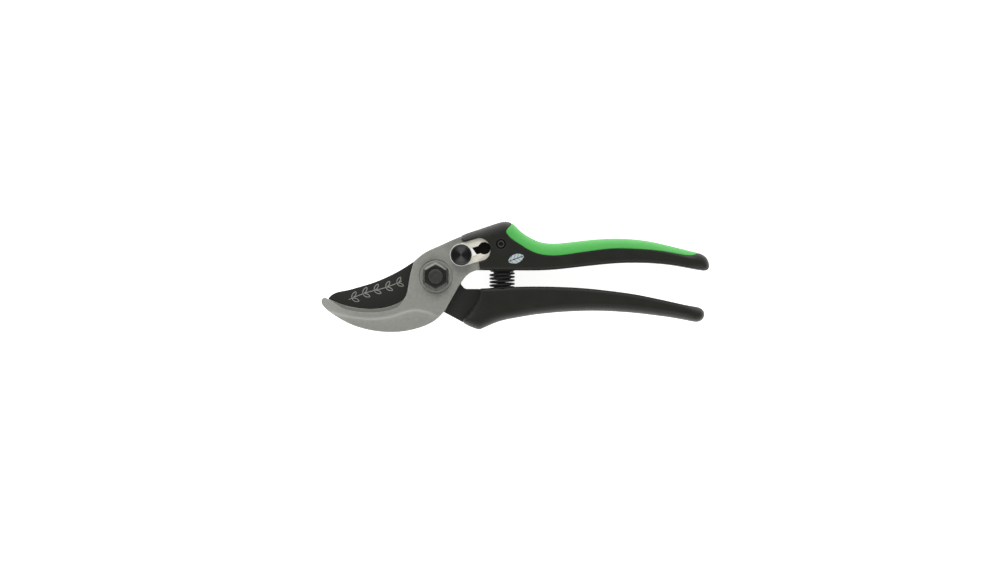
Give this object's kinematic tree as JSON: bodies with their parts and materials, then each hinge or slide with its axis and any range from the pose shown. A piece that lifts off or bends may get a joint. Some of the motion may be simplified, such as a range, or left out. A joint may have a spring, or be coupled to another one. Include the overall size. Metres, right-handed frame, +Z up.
{
  "type": "bypass pruner",
  "caption": "Hand bypass pruner lying on its side, jaws shut: grey hook body, black blade, sliding thumb lock, coil return spring, black handles with a green soft inlay.",
  "frame": {"origin": "on the jaw pivot axis, at the flat outer face of the pivot bolt's head, which lies on the resting surface", "axes": "+X along the tool from the jaws to the handle ends, +Y towards the handle that carries the lock, +Z up through the pivot bolt to its nut"},
  "size_m": [0.2032, 0.0581, 0.02],
  "materials": {
    "body_grey": "grey satin coat over a cast body, ground bright along the inner edge of the hook",
    "blade_black": "black low-friction coat with a ground cutting bevel",
    "black_moulding": "satin black glass-filled plastic",
    "soft_green": "green soft-touch rubber",
    "badge_print": "pale blue-grey plain leaf",
    "black_fastener": "blackened steel",
    "plain_steel": "plain bright steel",
    "bearing_brass": "bearing brass, hidden",
    "brushed_plate": "brushed stainless plate",
    "polished_steel": "polished steel slide",
    "turned_black": "black anodised, face turned in rings",
    "spring_black": "black-coated spring wire"
  },
  "bodies": {
    "upper_handle": {"hook_body": "body_grey", "upper_handle_sleeve": "black_moulding", "soft_grip_inlay": "soft_green", "handle_badge": "badge_print", "handle_screw": "black_fastener", "handle_nut": "black_fastener", "lock_plate": "brushed_plate", "pivot_bolt": "black_fastener", "pivot_nut": "black_fastener", "pivot_washer": "plain_steel", "pivot_bushing": "bearing_brass", "spring_upper_seat": "black_moulding", "return_spring": "spring_black"},
    "lower_handle": {"blade": "blade_black", "lower_handle_grip": "black_moulding", "spring_lower_seat": "black_moulding"},
    "lock": {"lock_knob": "turned_black", "lock_slider": "polished_steel", "lock_stud": "plain_steel", "lock_catch": "plain_steel", "lock_retaining_clip": "plain_steel", "lock_spring_washer": "plain_steel"}
  },
  "joints": [
    {"name": "jaw_pivot", "type": "hinge", "parent": "upper_handle", "child": "lower_handle", "pos_m": [0, 0, 0], "axis": [0, 0, -1], "range_deg": [0, 30], "deforming": ["return_spring"]},
    {"name": "lock_slide", "type": "slide", "parent": "upper_handle", "child": "lock", "axis": [0.9603, 0.279, 0], "range_m": [0, 0.0072]}
  ]
}
